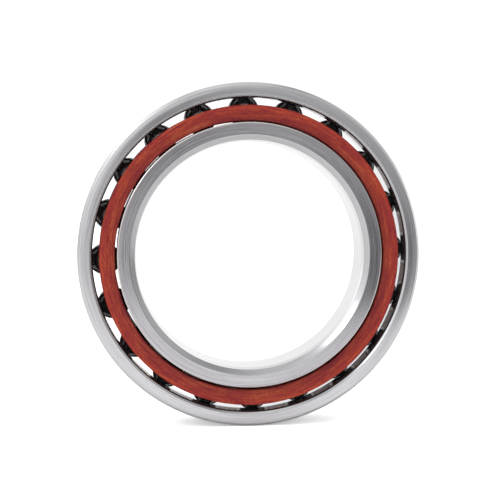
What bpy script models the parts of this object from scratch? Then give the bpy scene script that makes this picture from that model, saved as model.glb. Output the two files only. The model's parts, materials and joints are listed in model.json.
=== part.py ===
"""Single-row angular contact ball bearing, 45 x 68 x 12 mm.

The bearing axis is +Y and the origin is the bearing's centre.  The front face,
at -Y, has the outer ring's full shoulder; at the back, +Y, that shoulder is
cut away almost to the raceway, so the balls and the cage go in from there.
An outer ring, an inner ring, a one-piece machined cage and twenty balls, each
a solid of its own.
"""
import math

import bmesh
import bpy

MM = 0.001

# ---- boundary dimensions, mm -------------------------------------------------
BORE_D = 45.0
OUTSIDE_D = 68.0
WIDTH = 12.0

# ---- rolling elements --------------------------------------------------------
BALL_COUNT = 20
BALL_D = 6.35
PITCH_D = 57.2
FIRST_BALL_DEG = 1.7          # angle of ball_01 above +X, about the axis
BALL_PREFIX = "ball_"

# ---- raceways: one arc each, a little more open than the ball ----------------
GROOVE_R = 3.40
RUN_CLEARANCE = 0.085         # ball to groove bottom
ARC_STEPS = 8

# ---- outer ring --------------------------------------------------------------
OUTER_CHAMFER = 0.60          # both outside corners
OUTER_FRONT_LAND_R = 31.05    # full shoulder
OUTER_FRONT_CHAMFER = 0.55    # between the shoulder and the front face
OUTER_BACK_LAND_R = 31.72     # relieved shoulder, a small lip over the raceway
OUTER_BACK_CHAMFER = 0.35

# ---- inner ring --------------------------------------------------------------
INNER_LAND_R = 26.25
INNER_LAND_CHAMFER = 0.12
BORE_CHAMFER_R = 1.30         # radial
BORE_CHAMFER_Y = 1.00         # axial

# ---- cage --------------------------------------------------------------------
CAGE_INNER_R = 26.70
CAGE_OUTER_R = 29.60
CAGE_WIDTH = 10.30
CAGE_CHAMFER = 0.20
POCKET_D = 6.70
POCKET_SIDES = 24

RING_STEPS = 80

# ------------------------------------------------------------------------------
for old in list(bpy.data.objects):
    bpy.data.objects.remove(old, do_unlink=True)

parts = bpy.data.collections.new("ball_bearing")
cutters = bpy.data.collections.new("cutters")
pockets = bpy.data.collections.new("cage_pockets")
bpy.context.scene.collection.children.link(parts)
bpy.context.scene.collection.children.link(cutters)
cutters.children.link(pockets)


def material(name, colour, roughness, metallic):
    mat = bpy.data.materials.new(name)
    mat.use_nodes = True
    shader = mat.node_tree.nodes["Principled BSDF"]
    shader.inputs["Base Color"].default_value = (*colour, 1.0)
    shader.inputs["Roughness"].default_value = roughness
    shader.inputs["Metallic"].default_value = metallic
    return mat


def move_to(obj, collection):
    for owner in list(obj.users_collection):
        owner.objects.unlink(obj)
    collection.objects.link(obj)


def arc(centre_r, centre_y, radius, start_deg, end_deg, steps):
    """Points of an arc in the (radius, y) half plane; angle 0 points outwards."""
    points = []
    for i in range(steps + 1):
        a = math.radians(start_deg + (end_deg - start_deg) * i / steps)
        points.append((centre_r + radius * math.cos(a), centre_y + radius * math.sin(a)))
    return points


def turned(name, profile, mat):
    """A closed (radius, y) profile turned about the bearing axis.

    The profile is drawn in local XZ with its outer side running downwards, and
    the object is laid over so local Z is the bearing axis.  A half-step turn
    about the axis puts a flat of the polygon at the bottom, and the radii are
    opened by the flat's share so every flat lies on its true radius.
    """
    open_up = 1.0 / math.cos(math.pi / RING_STEPS)
    mesh = bpy.data.meshes.new(name)
    verts = [(r * MM * open_up, 0.0, y * MM) for r, y in profile]
    count = len(verts)
    mesh.from_pydata(verts, [(i, (i + 1) % count) for i in range(count)], [])
    obj = bpy.data.objects.new(name, mesh)
    parts.objects.link(obj)
    screw = obj.modifiers.new("turn", "SCREW")
    screw.axis = "Z"
    screw.angle = 2.0 * math.pi
    screw.steps = RING_STEPS
    screw.render_steps = RING_STEPS
    screw.use_merge_vertices = True
    screw.merge_threshold = 0.000005
    screw.use_smooth_shade = True
    mesh.materials.append(mat)
    obj.rotation_euler = (-math.pi / 2.0, math.pi / RING_STEPS, 0.0)
    return obj


# ---- materials ---------------------------------------------------------------
outer_steel = material("outer_ring_steel", (0.56, 0.56, 0.57), 0.32, 1.0)
inner_steel = material("inner_ring_steel", (0.54, 0.54, 0.55), 0.32, 1.0)
phenolic = material("cage_phenolic", (0.30, 0.062, 0.038), 0.52, 0.0)
ceramic = material("ball_ceramic", (0.012, 0.012, 0.013), 0.06, 0.0)

# ---- derived sizes -----------------------------------------------------------
half_w = WIDTH / 2.0
bore_r = BORE_D / 2.0
outside_r = OUTSIDE_D / 2.0
pitch_r = PITCH_D / 2.0
ball_r = BALL_D / 2.0

outer_bottom_r = pitch_r + ball_r + RUN_CLEARANCE
outer_arc_r = outer_bottom_r - GROOVE_R
inner_bottom_r = pitch_r - ball_r - RUN_CLEARANCE
inner_arc_r = inner_bottom_r + GROOVE_R

# angle on the groove arc, from the groove bottom, where it meets each shoulder
outer_front_deg = math.degrees(math.acos((OUTER_FRONT_LAND_R - outer_arc_r) / GROOVE_R))
outer_back_deg = math.degrees(math.acos((OUTER_BACK_LAND_R - outer_arc_r) / GROOVE_R))
inner_deg = math.degrees(math.acos((inner_arc_r - INNER_LAND_R) / GROOVE_R))

# ---- outer ring --------------------------------------------------------------
outer_profile = [
    (outside_r - OUTER_CHAMFER, half_w),
    (outside_r, half_w - OUTER_CHAMFER),
    (outside_r, -half_w + OUTER_CHAMFER),
    (outside_r - OUTER_CHAMFER, -half_w),
    (OUTER_FRONT_LAND_R + OUTER_FRONT_CHAMFER, -half_w),
    (OUTER_FRONT_LAND_R, -half_w + OUTER_FRONT_CHAMFER),
]
outer_profile += arc(outer_arc_r, 0.0, GROOVE_R, -outer_front_deg, outer_back_deg, ARC_STEPS)
outer_profile += [
    (OUTER_BACK_LAND_R, half_w - OUTER_BACK_CHAMFER),
    (OUTER_BACK_LAND_R + OUTER_BACK_CHAMFER, half_w),
]
turned("outer_ring", outer_profile, outer_steel)

# ---- inner ring --------------------------------------------------------------
inner_profile = [
    (INNER_LAND_R - INNER_LAND_CHAMFER, half_w),
    (INNER_LAND_R, half_w - INNER_LAND_CHAMFER),
]
inner_profile += arc(inner_arc_r, 0.0, GROOVE_R, 180.0 - inner_deg, 180.0 + inner_deg, ARC_STEPS)
inner_profile += [
    (INNER_LAND_R, -half_w + INNER_LAND_CHAMFER),
    (INNER_LAND_R - INNER_LAND_CHAMFER, -half_w),
    (bore_r + BORE_CHAMFER_R, -half_w),
    (bore_r, -half_w + BORE_CHAMFER_Y),
    (bore_r, half_w - BORE_CHAMFER_Y),
    (bore_r + BORE_CHAMFER_R, half_w),
]
turned("inner_ring", inner_profile, inner_steel)

# ---- cage: a plain ring with a round pocket drilled through for each ball -----
half_cage = CAGE_WIDTH / 2.0
cage = turned("cage", [
    (CAGE_OUTER_R - CAGE_CHAMFER, half_cage),
    (CAGE_OUTER_R, half_cage - CAGE_CHAMFER),
    (CAGE_OUTER_R, -half_cage + CAGE_CHAMFER),
    (CAGE_OUTER_R - CAGE_CHAMFER, -half_cage),
    (CAGE_INNER_R + CAGE_CHAMFER, -half_cage),
    (CAGE_INNER_R, -half_cage + CAGE_CHAMFER),
    (CAGE_INNER_R, half_cage - CAGE_CHAMFER),
    (CAGE_INNER_R + CAGE_CHAMFER, half_cage),
], phenolic)

ball_angles = [math.radians(FIRST_BALL_DEG + 360.0 / BALL_COUNT * i) for i in range(BALL_COUNT)]

for i, angle in enumerate(ball_angles):
    bpy.ops.mesh.primitive_cylinder_add(
        vertices=POCKET_SIDES,
        radius=POCKET_D / 2.0 * MM,
        depth=8.0 * MM,
        location=(pitch_r * MM * math.cos(angle), 0.0, pitch_r * MM * math.sin(angle)),
        rotation=(0.0, math.pi / 2.0 - angle, 0.0),
    )
    drill = bpy.context.object
    drill.name = "pocket_drill_%02d" % (i + 1)
    drill.hide_render = True
    drill.display_type = "WIRE"
    move_to(drill, pockets)

drilled = cage.modifiers.new("pockets", "BOOLEAN")
drilled.operation = "DIFFERENCE"
drilled.solver = "EXACT"
drilled.operand_type = "COLLECTION"
drilled.collection = pockets

# ---- balls: origin at the ball's centre, which its own spin axis passes -------
bpy.ops.mesh.primitive_ico_sphere_add(subdivisions=3, radius=ball_r * MM)
first = bpy.context.object
first.name = BALL_PREFIX + "01"
first.data.name = "ball"
first.data.materials.append(ceramic)
first.data.shade_smooth()
move_to(first, parts)

for i, angle in enumerate(ball_angles):
    ball = first if i == 0 else bpy.data.objects.new(BALL_PREFIX + "%02d" % (i + 1), first.data)
    if i:
        parts.objects.link(ball)
    ball.location = (pitch_r * MM * math.cos(angle), 0.0, pitch_r * MM * math.sin(angle))
    ball.rotation_euler = (0.0, -angle, 0.0)
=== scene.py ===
"""Looks of the 45 x 68 x 12 mm angular contact ball bearing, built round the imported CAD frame."""
import json
import math

import bpy
import numpy as np
from mathutils import Matrix, Vector

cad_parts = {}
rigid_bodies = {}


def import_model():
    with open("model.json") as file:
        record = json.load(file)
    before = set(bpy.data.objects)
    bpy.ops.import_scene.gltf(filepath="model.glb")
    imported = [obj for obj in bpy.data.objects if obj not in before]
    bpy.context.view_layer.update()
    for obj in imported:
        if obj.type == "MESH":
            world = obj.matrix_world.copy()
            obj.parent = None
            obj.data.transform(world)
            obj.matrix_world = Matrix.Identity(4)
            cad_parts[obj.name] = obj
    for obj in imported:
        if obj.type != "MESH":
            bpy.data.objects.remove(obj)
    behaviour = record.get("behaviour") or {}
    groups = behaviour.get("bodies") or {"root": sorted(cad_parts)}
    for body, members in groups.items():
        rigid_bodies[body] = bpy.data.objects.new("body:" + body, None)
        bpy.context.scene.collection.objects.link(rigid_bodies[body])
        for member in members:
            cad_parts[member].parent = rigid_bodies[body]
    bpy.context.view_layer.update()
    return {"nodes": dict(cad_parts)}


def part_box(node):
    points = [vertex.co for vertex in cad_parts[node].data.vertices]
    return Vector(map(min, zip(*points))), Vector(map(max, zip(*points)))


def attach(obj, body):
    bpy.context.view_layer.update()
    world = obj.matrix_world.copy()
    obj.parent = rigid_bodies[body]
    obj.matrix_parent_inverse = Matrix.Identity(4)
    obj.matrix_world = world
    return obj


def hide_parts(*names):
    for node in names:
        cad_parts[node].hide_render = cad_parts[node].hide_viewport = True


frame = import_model()

MM = 0.001

# ---------------------------------------------------------------- sizes, mm
LO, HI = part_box("outer_ring")
HALF_W = (HI.y - LO.y) / 2 / MM
OUTSIDE_R = (HI.x - LO.x) / 2 / MM
BORE_R = 22.5
BALLS = sorted(n for n in frame["nodes"] if n.startswith("ball_"))
BALL_R = 6.35 / 2
PITCH_R = 28.60
GROOVE_R = 3.40
OUTER_BOTTOM_R = PITCH_R + BALL_R + 0.05
INNER_BOTTOM_R = PITCH_R - BALL_R - 0.05
CAGE_IN_R, CAGE_OUT_R, CAGE_HALF = 26.70, 29.60, 5.15
CAGE_OVER = 0.19
CAGE_HANG = (0.03, -0.165)
POCKET_R = 3.35


# ---------------------------------------------------------------- turned shapes
def rounded(points, closed=True):
    """Rounds the corners of a (r, y) profile.

    points: (r, y, corner radius, material of the run that starts here).
    Returns (r, y, normal r, normal y, material) with normals pointing out.
    """
    n = len(points)
    out = []
    for i, (r, y, rad, mat) in enumerate(points):
        p = np.array([r, y])
        a = np.array(points[i - 1][:2])
        b = np.array(points[(i + 1) % n][:2])
        t0 = (p - a) / np.linalg.norm(p - a)
        t1 = (b - p) / np.linalg.norm(b - p)
        n0, n1 = np.array([-t0[1], t0[0]]), np.array([-t1[1], t1[0]])
        prev_mat = points[i - 1][3]
        turn = math.acos(max(-1, min(1, float(t0 @ t1))))
        if rad <= 0 or turn < 1e-4:
            m = (n0 + n1) / np.linalg.norm(n0 + n1)
            out.append((r, y, m[0], m[1], mat))
            continue
        cut = rad * math.tan(turn / 2)
        cut = min(cut, 0.45 * np.linalg.norm(p - a), 0.45 * np.linalg.norm(b - p))
        real = cut / math.tan(turn / 2)
        s, e = p - t0 * cut, p + t1 * cut
        side = 1.0 if (t0[0] * t1[1] - t0[1] * t1[0]) < 0 else -1.0
        centre = s - side * n0 * real
        steps = max(3, int(math.ceil(turn / math.radians(12))))
        for k in range(steps + 1):
            f = k / steps
            w0, w1 = math.sin((1 - f) * turn), math.sin(f * turn)
            m = n0 * w0 + n1 * w1
            m = m / np.linalg.norm(m)
            q = centre + side * m * real
            out.append((q[0], q[1], m[0], m[1], mat if k == steps else (prev_mat if f < 0.5 else mat)))
    return out


def lathe(name, profile, materials, segments=480):
    """Turns a rounded profile about the +Y bearing axis, with exact normals."""
    cols = len(profile)
    th = np.arange(segments) * 2 * math.pi / segments
    c, s = np.cos(th), np.sin(th)
    pr = np.array([p[0] for p in profile]) * MM
    py = np.array([p[1] for p in profile]) * MM
    nr = np.array([p[2] for p in profile])
    ny = np.array([p[3] for p in profile])
    pos = np.stack([np.outer(c, pr), np.tile(py, (segments, 1)), np.outer(s, pr)], -1).reshape(-1, 3)
    nrm = np.stack([np.outer(c, nr), np.tile(ny, (segments, 1)), np.outer(s, nr)], -1).reshape(-1, 3)
    j = np.arange(segments)[:, None]
    i = np.arange(cols)[None, :]
    j2, i2 = (j + 1) % segments, (i + 1) % cols
    quads = np.stack([j * cols + i, j * cols + i2, j2 * cols + i2, j2 * cols + i], -1).reshape(-1, 4)
    a, b, d = pos[quads[0, 0]], pos[quads[0, 1]], pos[quads[0, 3]]
    if np.dot(np.cross(b - a, d - a), nrm[quads[0, 0]]) < 0:
        quads = quads[:, ::-1]
    mesh = bpy.data.meshes.new(name)
    mesh.from_pydata(pos.tolist(), [], quads.tolist())
    slots = []
    for m in materials:
        mesh.materials.append(m)
        slots.append(m.name)
    index = np.tile(np.array([p[4] for p in profile]), segments)
    mesh.polygons.foreach_set("material_index", index.astype(np.int32))
    mesh.polygons.foreach_set("use_smooth", np.ones(len(quads), bool))
    mesh.update()
    mesh.normals_split_custom_set_from_vertices(nrm.tolist())
    obj = bpy.data.objects.new(name, mesh)
    bpy.context.scene.collection.objects.link(obj)
    return obj


def arc_points(centre_r, radius, start, end, steps, mat):
    pts = []
    for k in range(steps + 1):
        a = math.radians(start + (end - start) * k / steps)
        pts.append((centre_r + radius * math.cos(a), radius * math.sin(a), 0.0, mat))
    return pts


# ---------------------------------------------------------------- node helpers
def new_material(name):
    mat = bpy.data.materials.new(name)
    mat.use_nodes = True
    return mat, mat.node_tree, mat.node_tree.nodes["Principled BSDF"]


def node(tree, kind, **props):
    n = tree.nodes.new(kind)
    for k, v in props.items():
        if k.startswith("in_"):
            n.inputs[k[3:].replace("_", " ")].default_value = v
        else:
            setattr(n, k, v)
    return n


def math_node(tree, op, a, b=None, clamp=False):
    n = tree.nodes.new("ShaderNodeMath")
    n.operation = op
    n.use_clamp = clamp
    for i, v in enumerate((a, b)):
        if v is None:
            continue
        if isinstance(v, (int, float)):
            n.inputs[i].default_value = v
        else:
            tree.links.new(v, n.inputs[i])
    return n.outputs[0]


def polar(tree):
    """Radius, height along the axis and the unit direction round the axis, in mm, all in the piece's own frame."""
    tc = tree.nodes.new("ShaderNodeTexCoord")
    sep = tree.nodes.new("ShaderNodeSeparateXYZ")
    tree.links.new(tc.outputs["Object"], sep.inputs[0])
    x = math_node(tree, "MULTIPLY", sep.outputs["X"], 1000.0)
    y = math_node(tree, "MULTIPLY", sep.outputs["Y"], 1000.0)
    z = math_node(tree, "MULTIPLY", sep.outputs["Z"], 1000.0)
    r = math_node(tree, "SQRT", math_node(tree, "ADD", math_node(tree, "MULTIPLY", x, x), math_node(tree, "MULTIPLY", z, z)))
    cx = math_node(tree, "DIVIDE", x, r)
    cz = math_node(tree, "DIVIDE", z, r)
    return r, y, cx, cz, tc


def ring_noise(tree, pol, around, radial, axial, detail=3.0, rough=0.55, shift=0.0, lac=2.0):
    """Noise with its own scale round the ring (per radian), along the radius and along the axis (per mm)."""
    r, y, cx, cz, _ = pol
    comb = tree.nodes.new("ShaderNodeCombineXYZ")
    tree.links.new(math_node(tree, "ADD", math_node(tree, "MULTIPLY", cx, around), shift), comb.inputs[0])
    tree.links.new(math_node(tree, "MULTIPLY", cz, around), comb.inputs[1])
    tree.links.new(math_node(tree, "MULTIPLY", r, radial), comb.inputs[2])
    n = node(tree, "ShaderNodeTexNoise", noise_dimensions="4D")
    n.inputs["Scale"].default_value = 1.0
    n.inputs["Detail"].default_value = detail
    n.inputs["Roughness"].default_value = rough
    n.inputs["Lacunarity"].default_value = lac
    tree.links.new(comb.outputs[0], n.inputs["Vector"])
    tree.links.new(math_node(tree, "MULTIPLY", y, axial), n.inputs["W"])
    return n.outputs["Fac"]


def ramp(tree, fac, stops, interp="LINEAR"):
    n = tree.nodes.new("ShaderNodeValToRGB")
    n.color_ramp.interpolation = interp
    els = n.color_ramp.elements
    while len(els) > 1:
        els.remove(els[-1])
    els[0].position, els[0].color = stops[0][0], (*stops[0][1], 1)
    for p, c in stops[1:]:
        e = els.new(p)
        e.color = (*c, 1)
    tree.links.new(fac, n.inputs["Fac"])
    return n.outputs["Color"]


def map_range(tree, v, a, b, c, d, clamp=True):
    n = tree.nodes.new("ShaderNodeMapRange")
    n.clamp = clamp
    tree.links.new(v, n.inputs["Value"])
    for k, val in zip(("From Min", "From Max", "To Min", "To Max"), (a, b, c, d)):
        n.inputs[k].default_value = val
    return n.outputs["Result"]


def bump(tree, height, strength, distance, under=None):
    n = tree.nodes.new("ShaderNodeBump")
    n.inputs["Strength"].default_value = strength
    n.inputs["Distance"].default_value = distance
    tree.links.new(height, n.inputs["Height"])
    if under is not None:
        tree.links.new(under, n.inputs["Normal"])
    return n.outputs["Normal"]


def mix_colour(tree, fac, a, b, mode="MIX"):
    n = tree.nodes.new("ShaderNodeMix")
    n.data_type = "RGBA"
    n.blend_type = mode
    for sock, v in ((n.inputs["Factor"], fac), (n.inputs["A"], a), (n.inputs["B"], b)):
        if isinstance(v, (int, float)):
            sock.default_value = v
        elif isinstance(v, tuple):
            sock.default_value = (*v, 1)
        else:
            tree.links.new(v, sock)
    return n.outputs["Result"]


# ---------------------------------------------------------------- materials
def steel(name, colour, rough, aniso, lay, lay_mm, mottle=0.05, seed=0.0):
    """Ground bearing steel. lay_mm is the spacing of the grinding lines, lay their height."""
    mat, t, bsdf = new_material(name)
    pol = polar(t)
    lines = ring_noise(t, pol, 2.2, 1.0 / lay_mm, 1.0 / lay_mm, 2.0, 0.6, seed)
    fine = ring_noise(t, pol, 9.0, 2.6 / lay_mm, 2.6 / lay_mm, 2.0, 0.6, seed + 7)
    cloud = ring_noise(t, pol, 3.0, 0.5, 0.5, 3.0, 0.6, seed + 3)
    both = math_node(t, "ADD", math_node(t, "MULTIPLY", lines, 0.6), math_node(t, "MULTIPLY", fine, 0.4))
    dark = tuple(c * (1 - mottle * 1.6) for c in colour)
    lite = tuple(min(1.0, c * (1 + mottle)) for c in colour)
    col = ramp(t, both, [(0.32, dark), (0.5, colour), (0.68, lite)])
    t.links.new(col, bsdf.inputs["Base Color"])
    bsdf.inputs["Metallic"].default_value = 1.0
    rr = math_node(t, "ADD", map_range(t, cloud, 0.3, 0.7, rough * 0.9, rough * 1.1), map_range(t, both, 0.3, 0.7, -0.02, 0.02))
    t.links.new(rr, bsdf.inputs["Roughness"])
    if lay > 0:
        t.links.new(bump(t, both, 0.35, lay * MM), bsdf.inputs["Normal"])
    if aniso > 0:
        bsdf.inputs["Anisotropic"].default_value = aniso
        tan = node(t, "ShaderNodeTangent", direction_type="RADIAL", axis="Y")
        t.links.new(tan.outputs[0], bsdf.inputs["Tangent"])
    return mat


# One bearing steel in several copies. The roughness and grinding lines differ for real, but each copy's base
# colour is set to how light or dark its surface looks under this light. These tones are painted light and shade,
# and the inner ring faces are painted darker than the outer ring faces.
face_outer = steel("outer_face_steel", (0.472, 0.465, 0.482), 0.14, 0.6, 0.005, 0.16, 0.17, 1.0)
face_inner = steel("inner_face_steel", (0.402, 0.394, 0.413), 0.14, 0.6, 0.005, 0.16, 0.24, 5.0)
ground = steel("ground_steel", (0.58, 0.58, 0.588), 0.24, 0.4, 0.003, 0.10, 0.03, 9.0)
outside = steel("outside_ground_steel", (0.34, 0.34, 0.347), 0.27, 0.4, 0.003, 0.10, 0.06, 33.0)
turned_edge = steel("turned_edge_steel", (0.45, 0.45, 0.456), 0.22, 0.3, 0.002, 0.08, 0.03, 13.0)
# the throat steel is the turned-edge steel dimmed: painted shade on the outer half of the front chamfer
throat_shaded = steel("throat_shaded_steel", (0.35, 0.35, 0.356), 0.22, 0.3, 0.002, 0.08, 0.03, 15.0)
# a lighter, pink-tinted copy of the steel: painted light and a painted pink reflection of the cage
land_edge = steel("land_edge_steel", (0.47, 0.43, 0.425), 0.22, 0.3, 0.002, 0.08, 0.03, 29.0)
# near-black steel: a painted shadow line on the inner half of the front chamfer
lip_shade = steel("lip_shade_steel", (0.100, 0.110, 0.115), 0.20, 0.3, 0.002, 0.08, 0.03, 25.0)
bore_edge = steel("bore_edge_steel", (0.385, 0.382, 0.391), 0.22, 0.3, 0.003, 0.12, 0.12, 21.0)
raceway = steel("raceway_steel", (0.33, 0.33, 0.335), 0.09, 0.2, 0.001, 0.06, 0.02, 17.0)


def phenolic():
    mat, t, bsdf = new_material("phenolic_laminate")
    pol = polar(t)
    streak = ring_noise(t, pol, 7.0, 3.2, 1.4, 4.0, 0.66, 0.0)
    weave = ring_noise(t, pol, 60.0, 5.0, 2.6, 3.0, 0.70, 11.0)
    patch = ring_noise(t, pol, 3.2, 0.7, 0.5, 2.0, 0.5, 23.0)
    f = math_node(t, "ADD", math_node(t, "MULTIPLY", streak, 0.62), math_node(t, "MULTIPLY", weave, 0.38))
    f = math_node(t, "ADD", f, map_range(t, patch, 0.3, 0.7, -0.08, 0.08, True))
    col = ramp(t, f, [
        (0.33, (0.095, 0.006, 0.012)),
        (0.42, (0.142, 0.012, 0.014)),
        (0.50, (0.187, 0.019, 0.014)),
        (0.58, (0.236, 0.034, 0.014)),
        (0.69, (0.315, 0.078, 0.042)),
    ])
    # the colour is scaled from 0.80 times at the inner radius to 1.16 times at the outer radius, lighter outward
    # on every face of the cage
    col = mix_colour(t, 1.0, col, ramp(t, map_range(t, pol[0], CAGE_IN_R, CAGE_OUT_R, 0.0, 1.0), [(0.0, (0.80, 0.80, 0.84)), (1.0, (1.16, 1.14, 1.06))]), "MULTIPLY")
    t.links.new(col, bsdf.inputs["Base Color"])
    t.links.new(map_range(t, f, 0.3, 0.7, 0.56, 0.40), bsdf.inputs["Roughness"])
    h = math_node(t, "ADD", math_node(t, "MULTIPLY", weave, 0.6), math_node(t, "MULTIPLY", streak, 0.4))
    t.links.new(bump(t, h, 0.5, 0.02 * MM), bsdf.inputs["Normal"])
    bsdf.inputs["IOR"].default_value = 1.5
    bsdf.inputs["Specular IOR Level"].default_value = 0.14
    return mat


phen = phenolic()


def ceramic():
    mat, t, bsdf = new_material("silicon_nitride")
    tc = t.nodes.new("ShaderNodeTexCoord")
    n = node(t, "ShaderNodeTexNoise")
    n.inputs["Scale"].default_value = 900.0
    n.inputs["Detail"].default_value = 3.0
    t.links.new(tc.outputs["Object"], n.inputs["Vector"])
    col = ramp(t, n.outputs["Fac"], [(0.35, (0.010, 0.010, 0.011)), (0.6, (0.016, 0.016, 0.017)), (0.72, (0.030, 0.030, 0.031))])
    t.links.new(col, bsdf.inputs["Base Color"])
    t.links.new(map_range(t, n.outputs["Fac"], 0.3, 0.7, 0.035, 0.06), bsdf.inputs["Roughness"])
    bsdf.inputs["IOR"].default_value = 2.0
    return mat


ball_mat = ceramic()

# ---------------------------------------------------------------- outer ring
FACE, GROUND, EDGE, RACE, LIP, THROAT, OUTSIDE = 0, 1, 2, 3, 4, 5, 6
LAND_EDGE = 4
R = OUTSIDE_R
outer_arc_r = OUTER_BOTTOM_R - GROOVE_R
OF_LAND, OB_LAND, OF_CHAMFER = 31.05, 31.72, 0.55
fa = math.degrees(math.acos((OF_LAND - outer_arc_r) / GROOVE_R))
ba = math.degrees(math.acos((OB_LAND - outer_arc_r) / GROOVE_R))
outer_pts = [
    (R - 0.55, HALF_W, 0.12, EDGE),
    (R, HALF_W - 0.60, 0.15, OUTSIDE),
    (R, -HALF_W + 0.60, 0.15, EDGE),
    (R - 0.55, -HALF_W + 0.028, 0.15, FACE),
    (R - 1.25, -HALF_W, 14.0, FACE),
    # the outer half of the front chamfer takes the dimmed throat steel, painted shade
    (OF_LAND + OF_CHAMFER, -HALF_W, 0.16, THROAT),
    # the inner half of the front chamfer takes the near-black lip steel, a painted shadow line
    (OF_LAND + 0.22, -HALF_W + 0.33, 0.10, LIP),
    (OF_LAND, -HALF_W + 0.66, 0.08, GROUND),
]
race = arc_points(outer_arc_r, GROOVE_R, -fa, ba, 40, RACE)
race[0] = (*race[0][:2], 0.03, RACE)
race[-1] = (*race[-1][:2], 0.03, GROUND)
outer_pts += race
outer_pts += [
    (OB_LAND, HALF_W - 0.35, 0.05, EDGE),
    (OB_LAND + 0.35, HALF_W, 0.05, FACE),
]
outer = lathe("outer_ring_turned", rounded(outer_pts), [face_outer, ground, turned_edge, raceway, lip_shade, throat_shaded, outside])
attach(outer, "outer_ring")
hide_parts("outer_ring")

# ---------------------------------------------------------------- inner ring
LAND = 26.25
inner_arc_r = INNER_BOTTOM_R + GROOVE_R
ia = math.degrees(math.acos((inner_arc_r - LAND) / GROOVE_R))
inner_pts = [
    (LAND - 0.20, HALF_W, 0.05, EDGE),
    (LAND, HALF_W - 0.20, 0.05, GROUND),
]
race = arc_points(inner_arc_r, GROOVE_R, 180 - ia, 180 + ia, 40, RACE)
race[0] = (*race[0][:2], 0.03, RACE)
race[-1] = (*race[-1][:2], 0.03, GROUND)
inner_pts += race
inner_pts += [
    # the land's front edge takes the lighter, pink-tinted steel, a painted reflection of the cage
    (LAND, -HALF_W + 0.105, 0.04, LAND_EDGE),
    (LAND - 0.22, -HALF_W, 0.08, FACE),
    (BORE_R + 1.30, -HALF_W, 0.25, EDGE),
    (BORE_R + 0.30, -HALF_W + 0.77, 0.30, GROUND),
    (BORE_R, -HALF_W + 1.90, 2.0, GROUND),
    (BORE_R, HALF_W - 1.90, 2.0, GROUND),
    (BORE_R + 0.30, HALF_W - 0.77, 0.30, EDGE),
    (BORE_R + 1.30, HALF_W, 0.10, FACE),
]
inner = lathe("inner_ring_turned", rounded(inner_pts), [face_inner, ground, bore_edge, raceway, land_edge])
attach(inner, "inner_ring")
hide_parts("inner_ring")

# ---------------------------------------------------------------- cage
c = 0.16
cage_pts = [
    (CAGE_OUT_R + CAGE_OVER - c, CAGE_HALF, 0.06, 0),
    (CAGE_OUT_R + CAGE_OVER, CAGE_HALF - c, 0.06, 0),
    (CAGE_OUT_R + CAGE_OVER, -CAGE_HALF + c, 0.06, 0),
    (CAGE_OUT_R + CAGE_OVER - c, -CAGE_HALF, 0.06, 0),
    (CAGE_IN_R + c, -CAGE_HALF, 0.06, 0),
    (CAGE_IN_R, -CAGE_HALF + c, 0.06, 0),
    (CAGE_IN_R, CAGE_HALF - c, 0.06, 0),
    (CAGE_IN_R + c, CAGE_HALF, 0.06, 0),
]
cage = lathe("cage_machined", rounded(cage_pts), [phen], 480)

ball_centre = {n: (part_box(n)[0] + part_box(n)[1]) / 2 for n in BALLS}
drills = bpy.data.collections.new("drills")
for n in BALLS:
    b = ball_centre[n]
    out_dir = Vector((b.x, 0, b.z)).normalized()
    bpy.ops.mesh.primitive_cylinder_add(vertices=96, radius=POCKET_R * MM, depth=8 * MM)
    d = bpy.context.object
    for col in list(d.users_collection):
        col.objects.unlink(d)
    drills.objects.link(d)
    d.matrix_world = Matrix.Translation(out_dir * PITCH_R * MM) @ Vector((0, 0, 1)).rotation_difference(out_dir).to_matrix().to_4x4()
bpy.context.scene.collection.children.link(drills)
cut = cage.modifiers.new("pockets", "BOOLEAN")
cut.operation, cut.solver = "DIFFERENCE", "EXACT"
cut.operand_type, cut.collection = "COLLECTION", drills
bpy.context.view_layer.update()
deps = bpy.context.evaluated_depsgraph_get()
cut_mesh = bpy.data.meshes.new_from_object(cage.evaluated_get(deps))
cage.modifiers.clear()
cage.data = cut_mesh
for d in list(drills.objects):
    bpy.data.objects.remove(d)
bpy.data.collections.remove(drills)
cut_mesh.set_sharp_from_angle(angle=math.radians(35))
# the cage rests on the balls by the clearance of its pockets
cut_mesh.transform(Matrix.Translation((CAGE_HANG[0] * MM, 0, CAGE_HANG[1] * MM)))
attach(cage, "cage")
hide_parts("cage")

# ---------------------------------------------------------------- balls
bpy.ops.mesh.primitive_uv_sphere_add(segments=64, ring_count=40, radius=BALL_R * MM)
proto = bpy.context.object
proto.data.materials.append(ball_mat)
proto.data.shade_smooth()
for k, n in enumerate(BALLS):
    b = bpy.data.objects.new(n + "_polished", proto.data.copy())
    bpy.context.scene.collection.objects.link(b)
    b.location = ball_centre[n]
    b.rotation_euler = (0.7 * k, 1.3 * k, 0.4 * k)
    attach(b, n)
    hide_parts(n)
bpy.data.objects.remove(proto)

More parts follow.
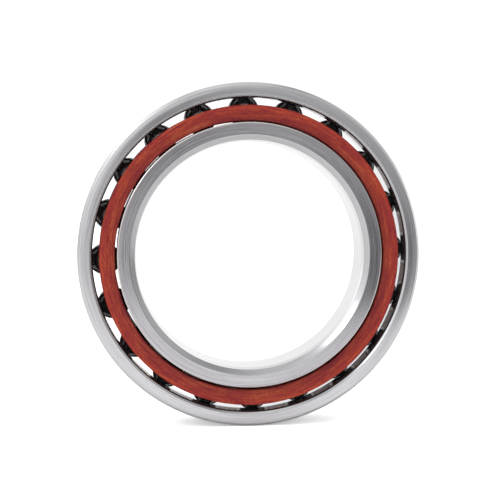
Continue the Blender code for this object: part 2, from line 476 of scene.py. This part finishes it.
# ---------------------------------------------------------------- floor
# a backlit white sheet that the camera and the soft light see, and on it the duller table that the steel mirrors
SHEET = [(-3.0, -3.0), (3.0, -3.0), (3.0, 3.0), (-3.0, 3.0)]
TABLE = [(-3.0, -2.0), (-0.08, -0.31), (0.05, -0.20), (0.30, -0.11), (3.0, -0.11), (3.0, 3.0), (-3.0, 3.0)]
for name, outline, drop, albedo, glow_up, mirrored in (("floor", SHEET, 0.0001, 0.93, 0.35, False), ("floor_mirrored", TABLE, 0.0, 0.86, 0.0, True)):
    mat, t, bsdf = new_material(name + "_white")
    bsdf.inputs["Base Color"].default_value = (albedo, albedo, albedo, 1)
    bsdf.inputs["Roughness"].default_value = 0.6
    bsdf.inputs["Specular IOR Level"].default_value = 0.2
    bsdf.inputs["Emission Color"].default_value = (1, 1, 1, 1)
    bsdf.inputs["Emission Strength"].default_value = glow_up
    mesh = bpy.data.meshes.new(name)
    mesh.from_pydata([(x, y, LO.z - drop) for x, y in outline], [], [list(range(len(outline)))])
    mesh.materials.append(mat)
    floor = bpy.data.objects.new(name, mesh)
    bpy.context.scene.collection.objects.link(floor)
    floor.visible_glossy = mirrored
    floor.visible_camera = not mirrored
    floor.visible_diffuse = not mirrored
    floor.visible_shadow = False

# ---------------------------------------------------------------- light
LEFT_GLOW, RIGHT_GLOW, TOP_GLOW, BACK_GLOW = 1.35, 0.57, 0.0, 1.22
DARK_LEFT, DARK_RIGHT, DARK_TOP, DARK_DEPTH = (0.0, 0.06), (0.23, 0.34), (-0.09, 0.0), 0.88
VEIL = 0.25
CEILING = 1.2
world = bpy.data.worlds.new("studio")
bpy.context.scene.world = world
world.use_nodes = True
wt = world.node_tree
wt.nodes.clear()
out = wt.nodes.new("ShaderNodeOutputWorld")
seen = wt.nodes.new("ShaderNodeBackground")
seen.inputs[0].default_value = (1, 1, 1, 1)
seen.inputs[1].default_value = 1.1
around = wt.nodes.new("ShaderNodeBackground")
around.inputs[0].default_value = (1, 1, 1, 1)
tcw = wt.nodes.new("ShaderNodeTexCoord")
sepw = wt.nodes.new("ShaderNodeSeparateXYZ")
wt.links.new(tcw.outputs["Generated"], sepw.inputs[0])
X, Y, Z = (sepw.outputs[k] for k in "XYZ")


def towards(az_deg, el_deg, near, far):
    """Smooth glow centred on a direction; azimuth from the front (-Y) towards +X."""
    a, e = math.radians(az_deg), math.radians(el_deg)
    v = (math.cos(e) * math.sin(a), -math.cos(e) * math.cos(a), math.sin(e))
    dot = wt.nodes.new("ShaderNodeVectorMath")
    dot.operation = "DOT_PRODUCT"
    wt.links.new(tcw.outputs["Generated"], dot.inputs[0])
    dot.inputs[1].default_value = v
    return soft(dot.outputs["Value"], near, far)


def soft(v, a, b, lo=0.0, hi=1.0):
    r = map_range(wt, v, a, b, lo, hi)
    r.node.interpolation_type = "SMOOTHSTEP"
    return r


def times(*v):
    out = v[0]
    for k in v[1:]:
        out = math_node(wt, "MULTIPLY", out, k)
    return out


def plus(*v):
    out = v[0]
    for k in v[1:]:
        out = math_node(wt, "ADD", out, k)
    return out


glow = plus(times(towards(-34, 28, 0.3, 1.0), LEFT_GLOW), times(towards(58, 19, 0.3, 1.0), RIGHT_GLOW), soft(Z, 0.3, 0.9, 0.0, TOP_GLOW), soft(Y, 0.25, 0.75, 0.0, BACK_GLOW), times(towards(0, 90, 0.92, 0.985), CEILING), times(towards(-100, 53, 0.93, 0.99), CEILING), times(towards(-100, 15, 0.65, 0.95), 0.9), times(towards(110, 35, 0.65, 0.95), 0.7), times(towards(112, 0, 0.90, 0.985), 0.8), times(towards(-12, 2, 0.965, 0.995), 0.22))
# the dark side of the room: the camera and whoever stands behind it, and the ground past the table's edge
across = times(soft(X, DARK_LEFT[0], DARK_LEFT[1]), soft(X, DARK_RIGHT[0], DARK_RIGHT[1], 1.0, 0.0))
in_front = soft(Y, -0.3, 0.0, 1.0, 0.0)
core = times(across, soft(Z, DARK_TOP[0], DARK_TOP[1], 1.0, 0.0), in_front, DARK_DEPTH)
veil = times(soft(X, -0.005, 0.035), soft(X, 0.35, 0.60, 1.0, 0.0), soft(Z, 0.15, 0.40, 1.0, 0.0), in_front, VEIL)
spot = times(towards(2.6, 1.7, 0.9985, 0.9998), 0.60)
dark = math_node(wt, "MAXIMUM", core, plus(veil, spot))
level = times(math_node(wt, "MAXIMUM", glow, 0.02), math_node(wt, "SUBTRACT", 1.0, dark))
wt.links.new(level, around.inputs[1])
lp = wt.nodes.new("ShaderNodeLightPath")
mixw = wt.nodes.new("ShaderNodeMixShader")
wt.links.new(lp.outputs["Is Camera Ray"], mixw.inputs[0])
wt.links.new(around.outputs[0], mixw.inputs[1])
wt.links.new(seen.outputs[0], mixw.inputs[2])
wt.links.new(mixw.outputs[0], out.inputs[0])


def softbox(name, loc, target, size, power, size_y=None):
    light = bpy.data.lights.new(name, "AREA")
    light.energy = power
    light.size = size
    if size_y:
        light.shape, light.size_y = "RECTANGLE", size_y
    o = bpy.data.objects.new(name, light)
    bpy.context.scene.collection.objects.link(o)
    o.location = loc
    o.rotation_euler = (Vector(target) - Vector(loc)).to_track_quat("-Z", "Y").to_euler()
    return o


softbox("key_softbox", (-0.417, -0.28, 0.327), (0, 0, 0), 0.22, 0.60)
softbox("rim_softbox", (-0.40, 0.25, 0.30), (0, 0, 0), 0.30, 0.12)
low_top = softbox("low_top_fill", (0.0, -0.02, 0.126), (0, -0.02, 0), 0.10, 0.09)
low_top.visible_glossy = False
low_top.visible_camera = False
overhead = bpy.data.lights.new("overhead_fill", "SUN")
overhead.energy = 0.35
overhead.angle = math.radians(100)
overhead_obj = bpy.data.objects.new("overhead_fill", overhead)
overhead_obj.visible_glossy = False
bpy.context.scene.collection.objects.link(overhead_obj)

# ---------------------------------------------------------------- camera
CAM_AZ, CAM_EL, CAM_D = -6.7, 4.35, 0.250
FOCAL_PX = 1269.0
AIM_PX = (251.0, 255.7)
cam_data = bpy.data.cameras.new("camera")
cam = bpy.data.objects.new("camera", cam_data)
bpy.context.scene.collection.objects.link(cam)
bpy.context.scene.camera = cam
cam_data.sensor_width = 36.0
cam_data.sensor_fit = "HORIZONTAL"
cam_data.lens = 36.0 * FOCAL_PX / 488.0
cam_data.clip_start = 0.01
cam_data.clip_end = 20.0
az, el = math.radians(CAM_AZ), math.radians(CAM_EL)
eye = Vector((math.sin(az) * math.cos(el), -math.cos(az) * math.cos(el), math.sin(el))) * CAM_D
fwd = (-eye).normalized()
right = fwd.cross(Vector((0, 0, 1))).normalized()
upv = right.cross(fwd)
# the front face's centre lands on AIM_PX; the ring's front face is HALF_W in front of the origin
centre = Vector((0, -HALF_W * MM, 0))
eye = eye + centre
rot = Matrix((right, upv, -fwd)).transposed()
cam.matrix_world = Matrix.Translation(eye) @ rot.to_4x4()
cam_data.shift_x = -(AIM_PX[0] - 244.0) / 488.0
cam_data.shift_y = (AIM_PX[1] - 244.0) / 488.0

scene = bpy.context.scene
scene.view_settings.view_transform = "Standard"
scene.view_settings.look = "None"
